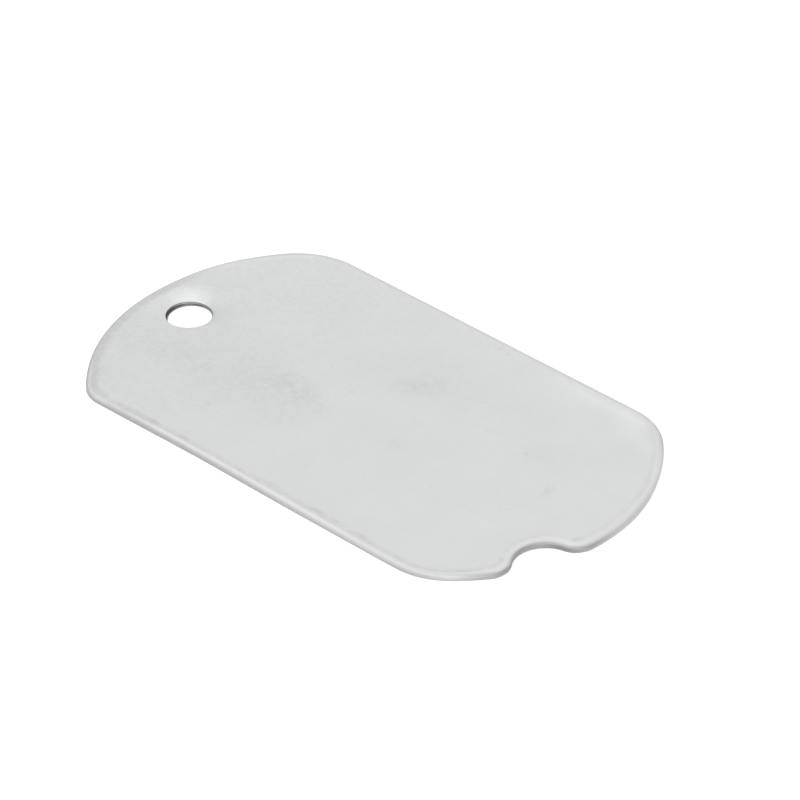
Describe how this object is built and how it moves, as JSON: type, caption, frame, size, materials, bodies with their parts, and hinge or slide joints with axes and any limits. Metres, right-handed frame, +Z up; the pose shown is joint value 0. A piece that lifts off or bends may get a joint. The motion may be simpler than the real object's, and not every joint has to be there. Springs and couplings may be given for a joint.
{
  "type": "identification dog tag",
  "caption": "Blank identification tag of pressed stainless sheet with a rolled rim, a locating notch off the centre line in one bowed end and a chain hole in the other.",
  "frame": {"origin": "under the middle of the tag's length and width, on the surface that its rolled rim rests on", "axes": "+X along the tag from the chain hole to the notch, +Y across it away from the notch, +Z up out of the back face; the rim is rolled towards -Z"},
  "size_m": [0.0508, 0.0286, 0.0007],
  "materials": {
    "tag": "fine satin stainless steel with light handling marks"
  },
  "bodies": {
    "root": {"tag": "tag"}
  },
  "joints": []
}
